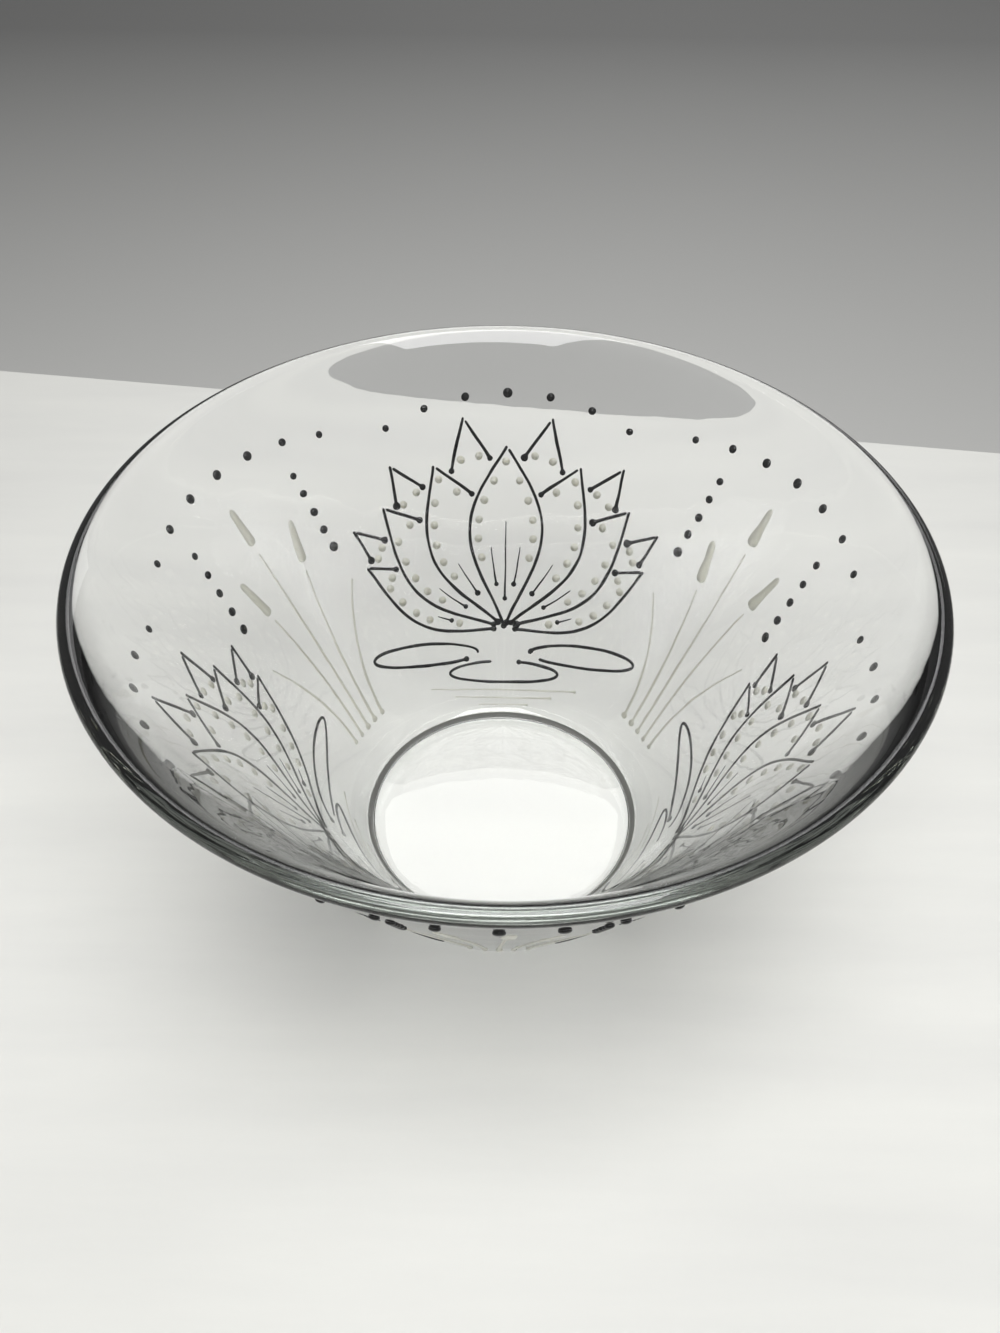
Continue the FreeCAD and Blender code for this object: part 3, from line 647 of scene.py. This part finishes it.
moreSeeds = (17.0, 31.0)         # added to the seed, for a drop's length and for its turn
dropInputs = {"Places": "Geometry", "Drop Shape": "Object", "Drop Height": "Float", "Uneven": "Float",
              "Wander": "Float", "Sink": "Float", "Seed": "Int", **wallInputs, "Paste": "Material"}
dropTree, known = newTree("squeezedDrops", dropInputs, {"Paste Drops": "Geometry"})
addRows(dropTree, known, (
    ("across", "GeometryNodeInputNamedAttribute", {"data_type": "FLOAT", "Name": "across"}, {}),
    ("half", sumNode, {"operation": "MULTIPLY", 1: 0.5}, {0: "across.Attribute"}),
    ("least", sumNode, {"operation": "SUBTRACT", 0: 1.0}, {1: "Uneven"}),
    ("most", sumNode, {"operation": "ADD", 0: 1.0}, {1: "Uneven"}),
    ("otherSeed", sumNode, {"operation": "ADD", 1: moreSeeds[0]}, {0: "Seed"}),
    ("thirdSeed", sumNode, {"operation": "ADD", 1: moreSeeds[1]}, {0: "Seed"}),
    ("width", "FunctionNodeRandomValue", {"data_type": "FLOAT"}, {2: "least", 3: "most", "Seed": "Seed"}),
    ("longer", "FunctionNodeRandomValue", {"data_type": "FLOAT"},
     {2: "least", 3: "most", "Seed": "otherSeed"}),
    ("spin", "FunctionNodeRandomValue", {"data_type": "FLOAT", 2: 0.0, 3: 2 * math.pi},
     {"Seed": "thirdSeed"}),
    ("wide", sumNode, {"operation": "MULTIPLY"}, {0: "half", 1: "width.Value"}),
    ("long", sumNode, {"operation": "MULTIPLY"}, {0: "half", 1: "longer.Value"}),
    ("size", "ShaderNodeCombineXYZ", {}, {"X": "wide", "Y": "long", "Z": "Drop Height"}),
    ("turning", "ShaderNodeCombineXYZ", {}, {"Z": "spin.Value"}),
    ("lowJitter", sumNode, {"operation": "MULTIPLY", 1: -1.0}, {0: "Wander"}),
    ("lowCorner", "ShaderNodeCombineXYZ", {}, {"X": "lowJitter", "Y": "lowJitter"}),
    ("highCorner", "ShaderNodeCombineXYZ", {}, {"X": "Wander", "Y": "Wander"}),
    ("jitter", "FunctionNodeRandomValue", {"data_type": "FLOAT_VECTOR"},
     {0: "lowCorner", 1: "highCorner", "Seed": "Seed"}),
    ("placed", "GeometryNodeSetPosition", {}, {"Geometry": "Places", "Offset": "jitter.Value"}),
    ("shape", "GeometryNodeObjectInfo", {}, {"Object": "Drop Shape"}),
    ("copies", "GeometryNodeInstanceOnPoints", {},
     {"Points": "placed", "Instance": "shape.Geometry", "Rotation": "turning", "Scale": "size"}),
    ("real", "GeometryNodeRealizeInstances", {}, {"Geometry": "copies"}),
    ("where", "GeometryNodeInputPosition", {}, {}),
    ("sinking", sumNode, {"operation": "MULTIPLY", 1: -1.0}, {0: "Sink"}),
    ("down", "ShaderNodeCombineXYZ", {}, {"Z": "sinking"}),
    ("seated", "ShaderNodeVectorMath", {"operation": "ADD"}, {0: "where", 1: "down"}),
    ("roll", "GeometryNodeGroup", {"node_tree": rollTree},
     {"Flat Place": "seated", **{name: name for name in wallInputs}}),
    ("onWall", "GeometryNodeSetPosition", {}, {"Geometry": "real", "Position": "roll"}),
    ("smooth", "GeometryNodeSetShadeSmooth", {}, {"Geometry": "onWall"}),
    ("finished", "GeometryNodeSetMaterial", {}, {"Geometry": "smooth", "Material": "Paste"}),
    ("result", "NodeGroupOutput", {}, {"Paste Drops": "finished"}),
))
print("paste trees built")


# Paste: cured contour paste straight from the liner tip

paste = {
    "lineHeight": 0.5 * mm, "dropHeight": 0.72 * mm, "blobWidth": 2.6 * mm, "pointGap": 0.35 * mm,
    "wobble": 0.5 * mm, "wobbleLength": 9 * mm, "sink": 0.03 * mm,
    "uneven": 0.08, "wander": 0.15 * mm, "seed": 7, "seedStep": 10, "dropSeed": 5,
    # radius and height of each ring of a drop, as shares
    "dropSides": 14, "dropRings": ((1.0, 0.0), (1.0, 0.30), (0.82, 0.68), (0.5, 0.9), (0.2, 0.98)),
    "refraction": 1.49, "grainDepth": 0.05 * mm, "glowDepth": 0.8 * mm,
    "blacks": ("#050506", "#0C0C0D"), "blackRoughness": (0.22, 0.38), "blackGrain": 1.11 * mm,
    "champagnes": ("#CBCABE", "#DBDAD0"), "champagneRoughness": (0.3, 0.5),
    "micaGrain": 0.625 * mm,     # real flakes are about 0.05 mm, drawn this coarse so that they show
}


# Black acrylic contour paste, cured with a shine: deep black, soft highlights on its round back
def blackPaste():
    material, tree = newMaterial("curedBlackContourPaste")
    place = addNode(tree, "ShaderNodeTexCoord").outputs["Object"]
    grain = addNode(tree, "ShaderNodeTexNoise", {"Scale": 1 / paste["blackGrain"], "Detail": 3.0},
                    {"Vector": place})
    gloss = addNode(tree, "ShaderNodeMapRange",
                    {"To Min": paste["blackRoughness"][0], "To Max": paste["blackRoughness"][1]},
                    {"Value": grain})
    relief = addNode(tree, "ShaderNodeBump", {"Strength": 0.25, "Distance": paste["grainDepth"]},
                     {"Height": grain})
    tone = addNode(tree, "ShaderNodeValToRGB", links={"Fac": grain})
    for stop, colour in zip(tone.color_ramp.elements, paste["blacks"]):
        stop.color = linearColour(colour)
    shader = addNode(tree, "ShaderNodeBsdfPrincipled", {"IOR": paste["refraction"]},
                     {"Base Color": tone, "Roughness": gloss, "Normal": relief})
    addNode(tree, "ShaderNodeOutputMaterial", links={"Surface": shader})
    return material


# Champagne pearl paste: fine mica in a milky binder, so light comes part way through it
def champagnePaste():
    material, tree = newMaterial("champagnePearlPaste")
    place = addNode(tree, "ShaderNodeTexCoord").outputs["Object"]
    mica = addNode(tree, "ShaderNodeTexNoise", {"Scale": 1 / paste["micaGrain"], "Detail": 4.0},
                   {"Vector": place})
    relief = addNode(tree, "ShaderNodeBump", {"Strength": 0.3, "Distance": paste["grainDepth"]},
                     {"Height": mica})
    tone = addNode(tree, "ShaderNodeValToRGB", links={"Fac": mica})
    for stop, colour in zip(tone.color_ramp.elements, paste["champagnes"]):
        stop.color = linearColour(colour)
    gloss = addNode(tree, "ShaderNodeMapRange",
                    {"To Min": paste["champagneRoughness"][0], "To Max": paste["champagneRoughness"][1]},
                    {"Value": mica})
    shader = addNode(tree, "ShaderNodeBsdfPrincipled",
                     {"IOR": paste["refraction"], "Coat Weight": 0.3, "Coat Roughness": 0.3,
                      "Subsurface Weight": 0.6, "Subsurface Radius": (1, 0.97, 0.9),
                      "Subsurface Scale": paste["glowDepth"]},
                     {"Base Color": tone, "Roughness": gloss, "Normal": relief})
    addNode(tree, "ShaderNodeOutputMaterial", links={"Surface": shader})
    return material


pasteMaterials = {"black_paste": blackPaste(), "champagne_paste": champagnePaste()}


def dropShape():                           # unit drop: half width 1, height 1, flat back
    sides, rings = paste["dropSides"], paste["dropRings"]
    turns = [2 * math.pi * k / sides for k in range(sides)]
    vertices = [(r * math.cos(t), r * math.sin(t), h) for r, h in rings for t in turns] + [(0, 0, 1)]
    faces = [tuple(reversed(range(sides)))]
    for ring in range(len(rings) - 1):
        a, b = ring * sides, (ring + 1) * sides
        faces += [(a + k, a + (k + 1) % sides, b + (k + 1) % sides, b + k) for k in range(sides)]
    last = (len(rings) - 1) * sides
    faces += [(last + k, last + (k + 1) % sides, len(vertices) - 1) for k in range(sides)]
    return meshObject("dropShape", vertices, [], faces)


def settle(piece, tree, settings):         # runs the tree on the piece and keeps the result as its mesh
    modifier = piece.modifiers.new("paste", "NODES")
    modifier.node_group = tree
    for item in tree.interface.items_tree:
        if item.in_out == "INPUT" and item.name in settings:
            modifier[item.identifier] = settings[item.name]
    evaluated = piece.evaluated_get(bpy.context.evaluated_depsgraph_get())
    mesh = bpy.data.meshes.new_from_object(evaluated)
    piece.modifiers.remove(modifier)
    old, piece.data = piece.data, mesh
    bpy.data.meshes.remove(old)
    mesh.name = piece.name


edges, veins, dots = blossomDrawing()
blades, heads = reedDrawing()
fans = fanOfDrops(*blossom["fan"][:2], blossom["fan"][2] * blossom["length"])
reedDrops = fanOfDrops(*reeds["fan"][:2], reeds["fan"][2] * reeds["length"]) + rowsOfDrops()
dotPlaces = [(x, y, blossom["dotAcross"]) for x, y in dots]
bold, thin = blossom["lineWidth"], blossom["veinWidth"]
# piece, CAD node, drawing, place, slot, then line width, share of the blob's width, share left at the tail
strokes = (
    ("blossom%dPetals", "blossom_%d_petals", edges, "blossom", "black_paste", bold, 1.0, 0.85),
    ("blossom%dVeins", "blossom_%d_veins", veins, "blossom", "black_paste", thin, 0.8, 0.4),
    ("lilyPads%d", "pads_%d", padDrawing(), "blossom", "black_paste", bold, 0.9, 0.85),
    ("ripples%d", "ripples_%d", rippleDrawing(), "blossom", "champagne_paste", thin, 0.5, 0.6),
    ("reeds%dBlades", "reeds_%d_blades", blades, "reeds", "champagne_paste", bold, 0.9, 0.5),
    ("reeds%dHeads", "reeds_%d_heads", heads, "reeds", "champagne_paste", reeds["headWidth"], 0.0, 0.5),
)
dropGroups = (
    ("blossom%dDots", "blossom_%d_dots", dotPlaces, "blossom", "champagne_paste"),
    ("blossom%dDrops", "blossom_%d_drops", fans, "blossom", "black_paste"),
    ("reeds%dDrops", "reeds_%d_drops", reedDrops, "reeds", "black_paste"),
)
shape = dropShape()
placed = []
for repeat in range(layout["repeats"]):
    number = repeat + 1
    blossomTurn = math.radians(layout["firstBlossom"] + 360.0 * repeat / layout["repeats"])
    at = {"blossom": (blossomTurn, layout["blossomBase"]),
          "reeds": (blossomTurn + math.pi / layout["repeats"], layout["reedBase"])}

    def wallSettings(spot, slot, offset):
        angle, base = at[spot]
        return {"Turn": angle, "Base": base * wallLength, "Slope": slope, "Foot Slant": slantToFoot,
                "Apex Height": apexHeight, "Sink": paste["sink"], "Paste": pasteMaterials[slot],
                "Seed": paste["seed"] + paste["seedStep"] * number + offset}

    for offset, (name, node, lines, spot, slot, width, blobShare, tail) in enumerate(strokes):
        vertices, links = [], []
        for line in lines:
            first = len(vertices)
            vertices += [(x, y, 0) for x, y in line]
            links += [(first + i, first + i + 1) for i in range(len(line) - 1)]
        piece = meshObject(name % number, vertices, links, [])
        settle(piece, lineTree, {
            "Line Width": width, "Line Height": paste["lineHeight"] * min(1, width / bold),
            "Blob Width": paste["blobWidth"] * blobShare, "Tail Share": tail,
            "Point Gap": paste["pointGap"], "Wobble": paste["wobble"],
            "Wobble Length": paste["wobbleLength"], **wallSettings(spot, slot, offset)})
        placed.append((piece, node % number, slot))
    for offset, (name, node, places, spot, slot) in enumerate(dropGroups):
        piece = meshObject(name % number, [(x, y, 0) for x, y, _ in places], [], [])
        sizes = piece.data.attributes.new("across", "FLOAT", "POINT")
        sizes.data.foreach_set("value", [across for _, _, across in places])
        settle(piece, dropTree, {
            "Drop Shape": shape, "Drop Height": paste["dropHeight"], "Uneven": paste["uneven"],
            "Wander": paste["wander"], **wallSettings(spot, slot, offset + paste["dropSeed"])})
        placed.append((piece, node % number, slot))
bpy.data.objects.remove(shape)
for piece, node, slot in placed:
    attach(piece, "root")
    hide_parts(node)
faceCount = sum(len(piece.data.polygons) for piece, _, _ in placed)
print("paste squeezed:", len(placed), "pieces,", faceCount, "faces")
